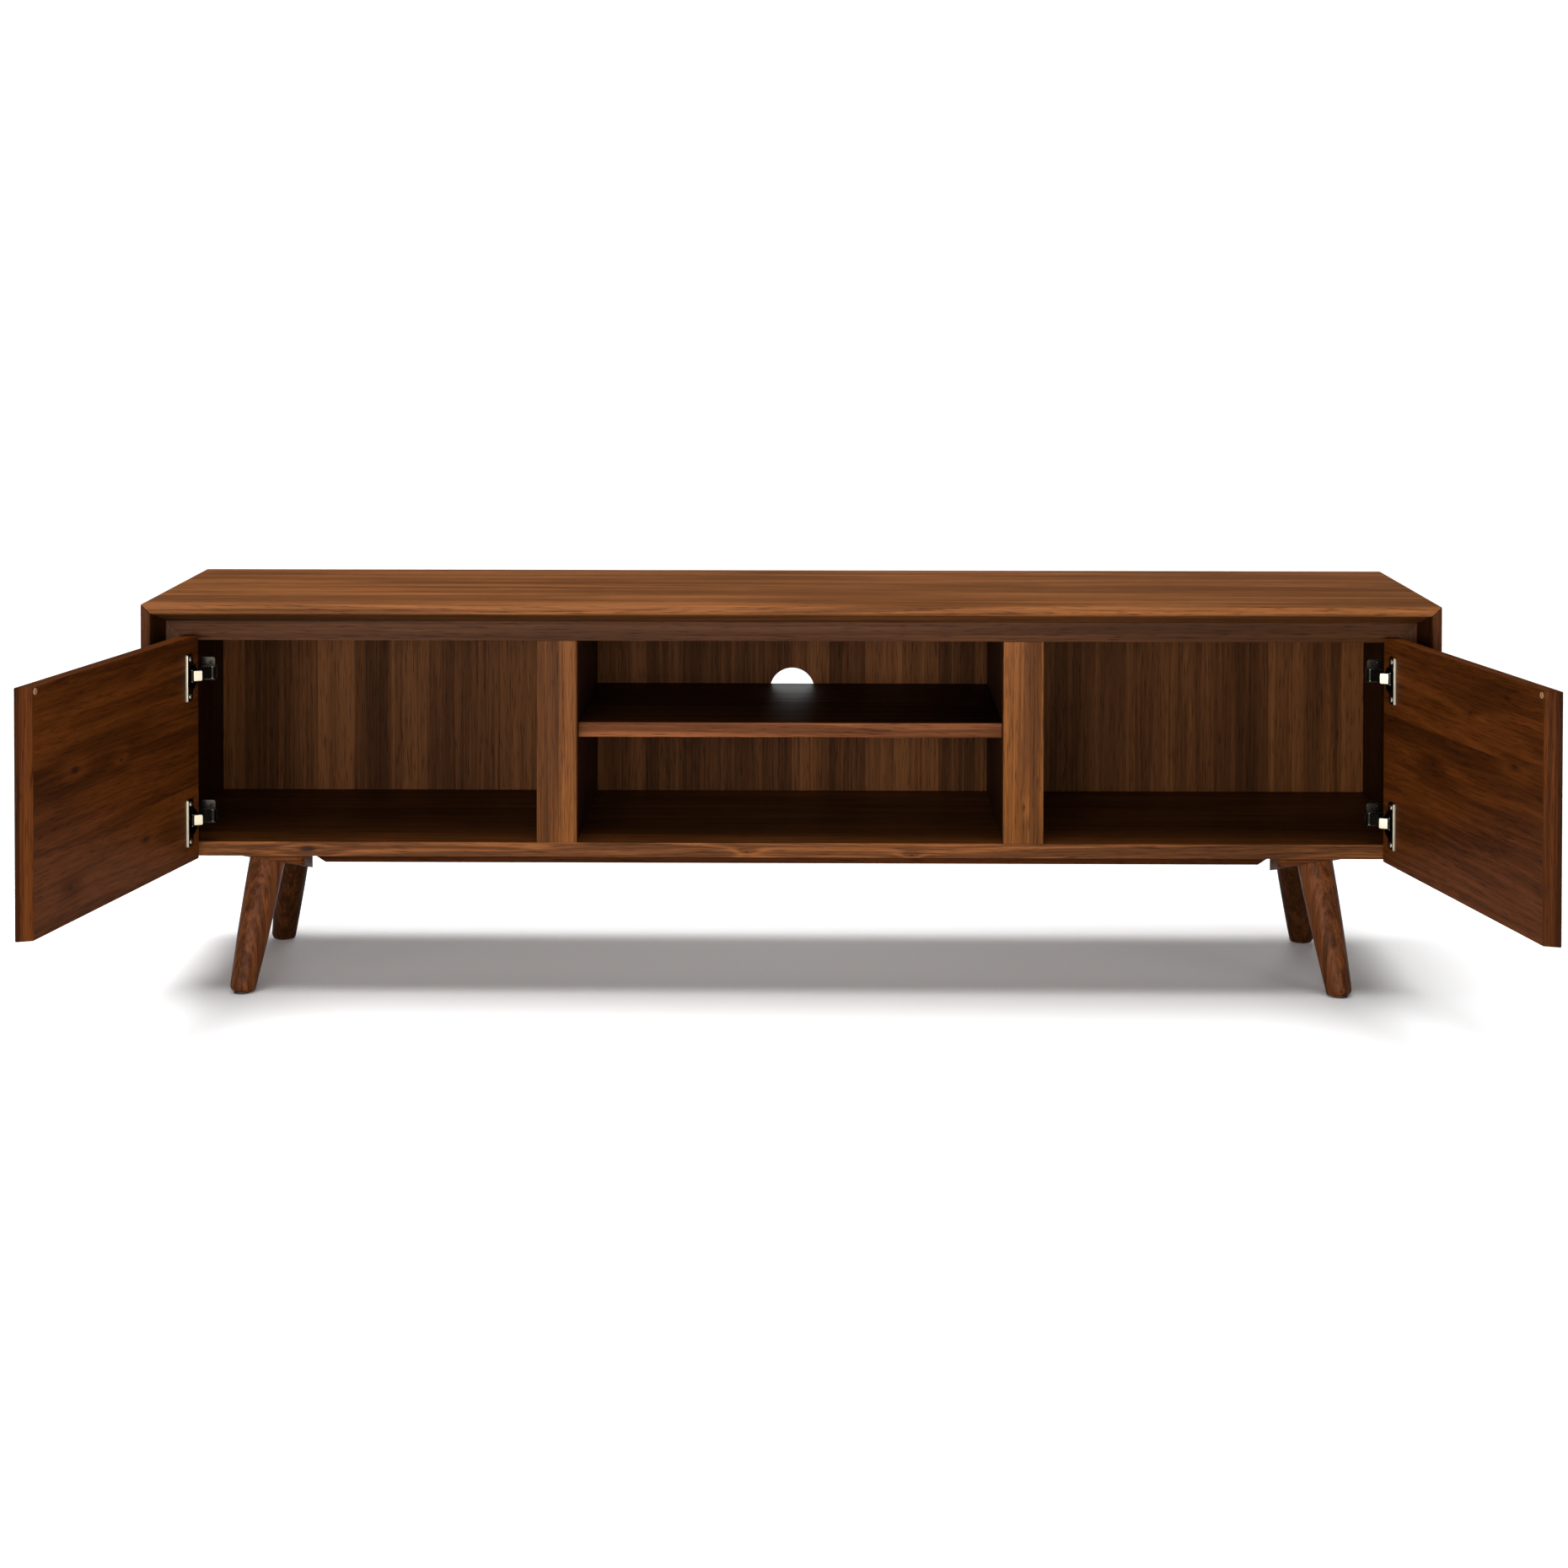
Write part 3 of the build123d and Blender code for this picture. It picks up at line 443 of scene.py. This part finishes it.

# %% [markdown]
# ## The cabinet's woods
# The whole cabinet is walnut, but its boards are different cuts of it. The top and the mullions are paler,
# the doors and the inside are dark heartwood, and the back is veneer. They could all share one material, but
# the cabinet would look moulded. So each kind of board has its own middle colour, grain direction and offset
# into the solid pattern. Painted shade darkens the floor and the shelf past the front, the underside of the
# top's front edge and the inside of the sides, where little light reaches. The rear legs' darker tone is
# painted shade from the case.

# %% The cabinet's woods
TONES = {
    "case": "6D411F",
    "side": "3F210F",
    "rail": "3F230F",
    "mullion": "5E3512",
    "bottom": "623817",
    "shelf": "64391E",
    "inside": "241006",
    "veneer": "4E2D13",
    "leg": "48250D",
    # The rear legs' darker tone is painted shade from the case above them.
    "rear_leg_painted_shade": "331A09",
    "block": "46240C",
    "under": "381B07",
    "door": "411F07",
}
DOOR_OPEN = 101.0
DOOR_TURN = {"left": DOOR_OPEN, "right": 180.0 - DOOR_OPEN}
door_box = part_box("left_door")
door_low, door_third = door_box[0].z, (door_box[1].z - door_box[0].z) / 3
case_box, rail_box, shelf_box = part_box("top_panel"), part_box("top_rail"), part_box("middle_shelf")
half_case, case_top, frame_front, shelf_front = case_box[1].x, case_box[1].z, rail_box[0].y, shelf_box[0].y
FRONT_EDGE = 0.0125
# Painted shade under the top board's front edge and on the inside of the sides, where the case shades itself.
top_underside_shade = (2, case_top - FRONT_EDGE - 0.0005, case_top - FRONT_EDGE - 0.002, 0.45)
side_inside_shade = (0, half_case - FRONT_EDGE - 0.0005, half_case - FRONT_EDGE - 0.002, 0.35)
LIPPING = (0.6446, 0.6545)
materials = {
    "case": walnut("oiled walnut, top board", "X", TONES["case"], (0.3, 0.1, 0.7), figure=0.05,
                   rings=3.5, line=0.009, spread=0.7, painted_shade=top_underside_shade),
    "side": walnut("oiled walnut, side boards", "Z", TONES["side"], (1.3, 2.1, 0.2), painted_shade=side_inside_shade,
                   gloss=0.03),
    "rail": walnut("oiled walnut, face frame rail", "X", TONES["rail"], (2.2, 0.6, 0.1), spread=0.45),
    "stile": walnut("oiled walnut, face frame stiles", "Z", TONES["rail"], (5.2, 0.6, 0.1), spread=0.45),
    "mullion": walnut("oiled walnut, mullions", "Z", TONES["mullion"], (3.1, 0.4, 1.3), wave=0.005,
                      line=0.003, spread=0.9, rings=2.0, knots=((0.27, 0.327, frame_front, 0.002),)),
    # The bottom board and the shelf are darkened past their front edges, a painted shade where little light
    # reaches.
    "bottom": walnut("oiled walnut, bottom board", "XY", TONES["bottom"], (4.4, 1.7, 0.5), figure=0.02,
                     wave=0.012, spread=0.95, rings=4.0, line=0.004,
                     painted_shade=(1, frame_front + 0.02, frame_front + 0.14, 0.68),
                     knots=((-0.675, 0.209, frame_front, 0.010), (-0.06, 0.207, frame_front, 0.003),
                            (0.17, 0.203, frame_front, 0.003))),
    "shelf": walnut("oiled walnut, shelf", "XY", TONES["shelf"], (8.4, 0.7, 0.5), figure=0.03, wave=0.010,
                    spread=0.85, line=0.004, painted_shade=(1, shelf_front + 0.001, shelf_front + 0.012, 0.26),
                    gloss=0.05),
    "inside": walnut("oiled walnut, partitions", "Z", TONES["inside"], (1.9, 1.1, 0.4)),
    "veneer": walnut("oiled walnut, strip veneer", "Z", TONES["veneer"], (0.8, 0.2, 1.6), wave=0.003,
                     spread=0.6, strip=0.056, figure=0.02, line=0.003, gloss=0.04),
    "leg": walnut("oiled walnut, front legs", "Z", TONES["leg"], (7.1, 0.9, 0.3), wave=0.006, figure=0.02,
                  spread=1.0),
    # The rear legs' darker tone is painted shade from the case above them.
    "rear_leg_painted_shade": walnut("oiled walnut, rear legs", "Z", TONES["rear_leg_painted_shade"], (7.1, 0.9, 0.3), wave=0.006,
                       figure=0.02, spread=0.75, gloss=0.03),
    "block": walnut("oiled walnut, leg blocks", "X", TONES["block"], (7.1, 0.9, 0.3), figure=0.02, line=0.004,
                    spread=0.9, gloss=0.03),
    "under": walnut("oiled walnut, rail under the case", "X", TONES["under"], (2.1, 0.9, 0.3), gloss=0.03),
}
print("kinds of board:", len(materials))

# %% [markdown]
# A door is one wide panel seen close up, so its planks, its lipping and its knots all show. It could be made
# like the other boards, but its grain has to turn with the door, which stands open. So each door gets the
# pattern in its own turned directions, and its knots are placed on its inner face one by one.

# %% Door woods
# These are the places of the doors' inner faces, measured through each door in its turned directions.
LEFT_FACE, RIGHT_FACE = -0.8156, 0.8156
DOOR_KNOTS = {
    "left": ((0.525, 0.390, LEFT_FACE, 0.010), (0.305, 0.260, LEFT_FACE, 0.006),
             (0.539, 0.243, LEFT_FACE, 0.006), (0.383, 0.379, LEFT_FACE, 0.005),
             (0.336, 0.491, LEFT_FACE, 0.005)),
    "right": ((0.30, 0.365, RIGHT_FACE, 0.008), (0.50, 0.300, RIGHT_FACE, 0.005),
              (0.42, 0.452, RIGHT_FACE, 0.005), (0.56, 0.405, RIGHT_FACE, 0.006)),
}
for side, seed in (("left", 6.3), ("right", 9.4)):
    materials[side + "_door"] = walnut(
        "oiled walnut, " + side + " door", "XY", TONES["door"], (seed, 0.5, 1.1), turn=DOOR_TURN[side],
        wave=0.016, figure=0.06, spread=0.72, rings=2.5, planks=(door_low, door_third), contrast=0.035,
        knots=DOOR_KNOTS[side], lipping=LIPPING, gloss=0.03)
print("woods:", sorted(materials))

# %% [markdown]
# ## Plated steel and soft parts
# The cup hinges are pressed steel with a black nickel plate. The rolled edge of the flange and the link's
# cover have a warm bright one. A single grey metal could do for all of them, but the bright parts are what
# stands out on dark wood. Pressed parts keep a faint waviness that breaks up the reflections. Fasteners are
# zinc plated. The bumpers and the glides are soft plastic.

# %% Metal and plastic materials
MULTIPLIED = {"data_type": "RGBA", "blend_type": "MULTIPLY"}
# Handling marks and moulded grit are finer on real parts. They are drawn coarser, so that they show.
MARKS_SCALE, GRIT_SCALE = (900, 900, 900), (1500, 1500, 1500)


def plated(name, colour, rough, waves):
    """Plated pressed steel, with a faint large-scale waviness in metres and fine handling marks."""
    material, tree = new_material(name)
    place = add(tree, "ShaderNodeTexCoord").outputs["Object"]
    marks = stretched_noise(tree, place, MARKS_SCALE)
    hollow = stretched_noise(tree, place, (1 / waves, 1 / waves, 1 / waves), 1.0)
    worn = add(tree, "ShaderNodeMapRange", {0: marks, 1: 0.4, 2: 0.7, 4: 0.25})
    tint = add(tree, "ShaderNodeMix", {0: worn, 6: linear(colour), 7: linear("B9B2A6")}, **MULTIPLIED)
    polish = add(tree, "ShaderNodeMapRange", {0: marks, 1: 0.3, 2: 0.7, 3: rough - 0.05, 4: rough + 0.1})
    bump = add(tree, "ShaderNodeBump", {"Height": hollow, "Strength": 0.1, "Distance": 0.0003})
    shader = add(tree, "ShaderNodeBsdfPrincipled",
                 {"Base Color": tint.outputs[2], "Metallic": 1.0, "Roughness": polish, "Normal": bump})
    add(tree, "ShaderNodeOutputMaterial", {"Surface": shader})
    return material


def moulded(name, colour, rough):
    """A moulded soft plastic with a fine matt texture."""
    material, tree = new_material(name)
    place = add(tree, "ShaderNodeTexCoord").outputs["Object"]
    grit = stretched_noise(tree, place, GRIT_SCALE)
    worn = add(tree, "ShaderNodeMapRange", {0: grit, 1: 0.3, 2: 0.7, 4: 0.3})
    tint = add(tree, "ShaderNodeMix", {0: worn, 6: linear(colour), 7: linear("A0A0A0")}, **MULTIPLIED)
    bump = add(tree, "ShaderNodeBump", {"Height": grit, "Strength": 0.2, "Distance": 0.0001})
    shader = add(tree, "ShaderNodeBsdfPrincipled",
                 {"Base Color": tint.outputs[2], "Roughness": rough, "IOR": 1.49, "Normal": bump})
    add(tree, "ShaderNodeOutputMaterial", {"Surface": shader})
    return material


materials["arm_nickel"] = plated("black nickel plate", "211E1B", 0.26, 0.012)
materials["link_nickel"] = plated("warm nickel plate", "C8C0A8", 0.42, 0.010)
materials["fastener_steel"] = plated("zinc plated steel", "B8B6B0", 0.35, 0.006)
materials["bumper_felt"] = moulded("clear soft urethane bumper", "7A5A3C", 0.4)
materials["glide_nylon"] = moulded("dark nylon glide", "2A201A", 0.6)
print("materials:", len(materials))

# %% [markdown]
# ## Eased edges
# No board leaves the shop with knife edges: a maker takes them off with a block plane or fine paper. The
# eased edge is what catches the light along every board. It could be faked in the shading, but an export
# would lose it. So each sharp CAD board is copied, its triangles are merged back into faces, and a small
# bevel is rounded along its edges.

# %% Board pieces with eased edges
EASE_SEGMENTS = 3
EASE_ANGLE = math.radians(28)
WELD_DISTANCE = 0.00001
FLAT_ANGLE = math.radians(1.0)


def eased(node, radius, material, body):
    """A copy of a CAD node with its sharp edges rounded to a radius in metres, in place of the node."""
    mesh = nodes[node].data.copy()
    mesh.name = node + "_eased"
    shape = bmesh.new()
    shape.from_mesh(mesh)
    bmesh.ops.remove_doubles(shape, verts=shape.verts, dist=WELD_DISTANCE)
    bmesh.ops.dissolve_limit(shape, angle_limit=FLAT_ANGLE, verts=shape.verts, edges=shape.edges)
    shape.to_mesh(mesh)
    shape.free()
    mesh.materials.clear()
    mesh.materials.append(material)
    thing = new_object(node + "_eased", mesh)
    bevel = thing.modifiers.new("eased edges", "BEVEL")
    bevel.width = radius
    bevel.segments = EASE_SEGMENTS
    bevel.limit_method = "ANGLE"
    bevel.angle_limit = EASE_ANGLE
    bevel.harden_normals = True
    for face in mesh.polygons:
        face.use_smooth = True
    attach(thing, body)
    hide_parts(node)


BOARDS = {
    "top_panel": ("case", "walnut_case", 1.2),
    "left_side_panel": ("side", "walnut_case", 1.2),
    "right_side_panel": ("side", "walnut_case", 1.2),
    "top_rail": ("rail", "walnut_frame", 0.5),
    "left_stile": ("stile", "walnut_frame", 0.5),
    "right_stile": ("stile", "walnut_frame", 0.5),
    "left_mullion": ("mullion", "walnut_frame", 0.9),
    "right_mullion": ("mullion", "walnut_frame", 0.9),
    "middle_shelf": ("shelf", "walnut_panel", 1.0),
    "under_rail": ("under", "walnut_frame", 1.2),
}
for node, (finish, slot, radius) in BOARDS.items():
    eased(node, radius * MM, materials[finish], "cabinet")
print("eased boards:", len(BOARDS))

# %% [markdown]
# ## Hinge pressings
# A concealed hinge is pressed from thin sheet, and what shows of it is rounded: the rolled edge of the
# flange, the crowned cover of the link, domed screw heads with a cross recess. They could be bevelled boxes,
# but a stack of rounded rectangles whose insets follow a quarter circle gives the same roundness on plates,
# covers, buttons and screw heads from one function.

# %% Rounded slabs
SHARP_ANGLE = math.radians(50)
CORNER_STEPS, EDGE_STEPS = 6, 5
THINNEST_CORNER = 0.0001
DISH_FLOOR = 0.8


def rounded_outline(width, height, corner):
    """Points round a rectangle whose corners are quarter circles: centre + corner * (cos a, sin a)."""
    angles = np.linspace(0, np.pi / 2, CORNER_STEPS)
    arcs = []
    for quarter, (sx, sy) in enumerate(((1, 1), (-1, 1), (-1, -1), (1, -1))):
        turn = angles + quarter * np.pi / 2
        middle = np.array([sx * (width / 2 - corner), sy * (height / 2 - corner)])
        arcs.append(middle + corner * np.stack([np.cos(turn), np.sin(turn)], axis=-1))
    return np.concatenate(arcs)


def slab_points(width, height, corner, thickness, edge, place, axes, dish=None):
    """Rings of a slab: inset = edge * (1 - cos t), level = thickness - edge * (1 - sin t) for t from 0 to 90.

    axes are the across, up and outward directions. dish is (radius, depth) of a hollow in the top.
    """
    turn = np.linspace(0, np.pi / 2, EDGE_STEPS)
    steps = [(0.0, 0.0)] + [(edge * (1 - math.cos(t)), thickness - edge * (1 - math.sin(t))) for t in turn]
    if dish:
        steps += [(corner - dish[0], thickness), (corner - dish[0] * DISH_FLOOR, thickness - dish[1])]
    rings = []
    for inset, level in steps:
        flat = rounded_outline(width - 2 * inset, height - 2 * inset, max(corner - inset, THINNEST_CORNER))
        rings.append(place + flat[:, :1] * axes[0] + flat[:, 1:] * axes[1] + level * axes[2])
    return np.array(rings)


def slab_object(name, slabs, finish, body):
    """One object of several slabs, with closed ends and outward faces, moving with a body."""
    points, faces, start = [], [], 0
    for rings in slabs:
        count, around = rings.shape[:2]
        index = start + np.arange(count * around).reshape(count, around)
        after = np.roll(index, -1, axis=1)
        faces += np.stack([index[:-1], after[:-1], after[1:], index[1:]], axis=-1).reshape(-1, 4).tolist()
        faces += [index[0][::-1].tolist(), index[-1].tolist()]
        points.append(rings.reshape(-1, 3))
        start += count * around
    mesh = bpy.data.meshes.new(name)
    mesh.from_pydata(np.concatenate(points), [], faces)
    mesh.materials.append(materials[finish])
    shape = bmesh.new()
    shape.from_mesh(mesh)
    bmesh.ops.recalc_face_normals(shape, faces=shape.faces)
    shape.to_mesh(mesh)
    shape.free()
    for face in mesh.polygons:
        face.use_smooth = True
    mesh.set_sharp_from_angle(angle=SHARP_ANGLE)
    thing = new_object(name, mesh)
    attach(thing, body)
    return thing


print("a slab's rounded edge has", EDGE_STEPS, "rings")

# %% [markdown]
# On the door, each cup hinge shows a flange with a bright rolled edge and two screws, and a crowned cover on
# its link. On the face frame, the arm ends in a dark wing with two small screws. These pressings could be
# modelled in the CAD, but nothing bears on them. So they are laid here as slabs, in the door's own
# directions, from the same pivots that the CAD turns on. A dished button stands for each door's bumper.

# %% Hinge covers, rolled edges, screws and bumpers
CUP_PIVOT_INSET, CUP_PIVOT_DEPTH, CUP_CENTRE_INSET = 0.016, 0.003, 0.0255
FLANGE_HALF_HEIGHT, FLANGE_THICKNESS = 0.033, 0.0014
SCREW_OFFSET, SCREW_HALF_SPACING, SCREW_HEAD_RADIUS = 0.008, 0.026, 0.0034
STRAP_LEAN = math.radians(23.8)
# Each of these is a slab's width, height, corner radius, thickness and rounded edge.
FLANGE_ROLL = (0.0030, 0.065, 0.00149, 0.0030, 0.0006)
SCREW_HEAD = (0.0068, 0.0068, SCREW_HEAD_RADIUS, 0.0018, 0.0012)
LINK_COVER = (0.0172, 0.0148, 0.0022, 0.0016, 0.0008)
ARM_WING = (0.022, 0.014, 0.004, 0.0016, 0.0006)
WING_SCREW_HEAD = (0.0048, 0.0048, 0.0024, 0.0012, 0.0009)
BUMPER_RING = (0.0082, 0.0082, 0.0041, 0.0019, 0.0008)
# A recess is two slabs, which differ only in width and height. The bumper's dish is its radius and depth.
CROSS_ARMS = ((0.0036, 0.0008), (0.0008, 0.0036))
CROSS_EDGE = (0.0003, 0.00012, 0.00005)
BUMPER_DISH = (0.0026, 0.0008)
# These are the distances at which the slabs sit.
ROLL_OFFSET = 0.0101
CROSS_HEIGHT = 0.00175
COVER_ALONG, COVER_SINK = 0.0059, 0.0002
WING_INSET, WING_FORWARD, WING_RISE = 0.006, 0.0042, 0.0155
WING_SCREWS = ((-0.004, 0.0025), (0.005, -0.001))
WING_THICKNESS = 0.0016
BUMPER_SINK = 0.0009

pivots = {joint["name"]: np.array(joint["pos_m"]) for joint in frame["record"]["behaviour"]["joints"]}
up_axis = np.array([0.0, 0.0, 1.0])
across = np.array([1.0, 0.0, 0.0])
front = np.array([0.0, -1.0, 0.0])
on_frame = (across, up_axis, front)
for side, hand in (("left", 1), ("right", -1)):
    turn = math.radians(-DOOR_OPEN)
    along = np.array([hand * math.cos(turn), math.sin(turn), 0.0])
    out = np.array([hand * -math.sin(turn), math.cos(turn), 0.0])
    on_door = (along, up_axis, out)
    lean = np.array([hand * math.cos(STRAP_LEAN), math.sin(STRAP_LEAN), 0.0])
    facing = np.array([hand * math.sin(STRAP_LEAN), -math.cos(STRAP_LEAN), 0.0])
    on_link = (lean, up_axis, facing)
    cup_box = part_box(side + "_hinge_cups")
    heights = (cup_box[0].z + FLANGE_HALF_HEIGHT, cup_box[1].z - FLANGE_HALF_HEIGHT)
    pivot = pivots[side + "_door_hinge"]
    arm = pivots[side + "_link_pivot"]
    corner = pivot - CUP_PIVOT_INSET * along + CUP_PIVOT_DEPTH * out
    rolled, heads, crosses, covers, wings, wing_heads = [], [], [], [], [], []
    for height in heights:
        face = np.array([corner[0], corner[1], height]) + CUP_CENTRE_INSET * along
        on_flange = face + FLANGE_THICKNESS * out
        lip = face + (SCREW_OFFSET + ROLL_OFFSET) * along
        rolled.append(slab_points(*FLANGE_ROLL, lip, on_door))
        for level in (-SCREW_HALF_SPACING, SCREW_HALF_SPACING):
            middle = on_flange + SCREW_OFFSET * along + level * up_axis
            heads.append(slab_points(*SCREW_HEAD, middle, on_door))
            for wide, tall in CROSS_ARMS:
                recess = middle + CROSS_HEIGHT * out
                crosses.append(slab_points(wide, tall, *CROSS_EDGE, recess, on_door))
        middle = np.array([pivot[0], pivot[1], height]) + COVER_ALONG * lean - COVER_SINK * facing
        covers.append(slab_points(*LINK_COVER, middle, on_link))
        middle = np.array([arm[0] - hand * WING_INSET, frame_front + WING_FORWARD, height + WING_RISE])
        wings.append(slab_points(*ARM_WING, middle, on_frame))
        for shift, rise in WING_SCREWS:
            spot = middle + hand * shift * across + rise * up_axis + WING_THICKNESS * front
            wing_heads.append(slab_points(*WING_SCREW_HEAD, spot, on_frame))
    slab_object(side + "_flange_rolls", rolled, "link_nickel", side + "_door")
    slab_object(side + "_cup_screw_heads", heads, "fastener_steel", side + "_door")
    slab_object(side + "_cup_screw_crosses", crosses, "arm_nickel", side + "_door")
    slab_object(side + "_link_covers", covers, "link_nickel", side + "_links")
    slab_object(side + "_arm_wings", wings, "arm_nickel", "cabinet")
    slab_object(side + "_arm_screw_heads", wing_heads, "arm_nickel", "cabinet")
    bump_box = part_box(side + "_door_bumper")
    middle = np.array((bump_box[0] + bump_box[1]) / 2) - BUMPER_SINK * out
    ring = slab_points(*BUMPER_RING, middle, on_door, dish=BUMPER_DISH)
    button = slab_object(side + "_bumper_button", [ring], "bumper_felt", side + "_door")
    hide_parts(side + "_door_bumper")
    print(side, "hinges at heights", [round(float(height), 3) for height in heights])

# %% [markdown]
# Some pieces are right as they stand in the CAD: the turned legs and their blocks, the doors, the floor, the
# partitions and the veneered back, the hinge arms and links, the screws and the glides. They could be copied
# and bevelled like the other boards, but their edges are round already or hardly seen. So they only get a
# finish. The rear legs stand in the cabinet's own shade, and their wood is given a darker tone as painted
# shade.

# %% Finishes on the CAD pieces
FINISHES = {
    "bottom_panel": "bottom",
    "back_panel": "veneer",
    "left_partition": "inside",
    "right_partition": "inside",
    "left_door": "left_door",
    "right_door": "right_door",
    "foot_glides": "glide_nylon",
}
for name in nodes:
    if name.endswith("_leg"):
        # The rear legs get the darker tone, a painted shade from the case.
        FINISHES[name] = "rear_leg_painted_shade" if name.startswith("rear") else "leg"
    elif name.endswith("_leg_block"):
        FINISHES[name] = "block"
    elif "hinge_" in name:
        FINISHES[name] = "arm_nickel"
    elif name.endswith(("screws", "pins", "bolts")):
        FINISHES[name] = "fastener_steel"
for name, finish in FINISHES.items():
    nodes[name].data.materials.clear()
    nodes[name].data.materials.append(materials[finish])
print("finished CAD pieces:", len(FINISHES))
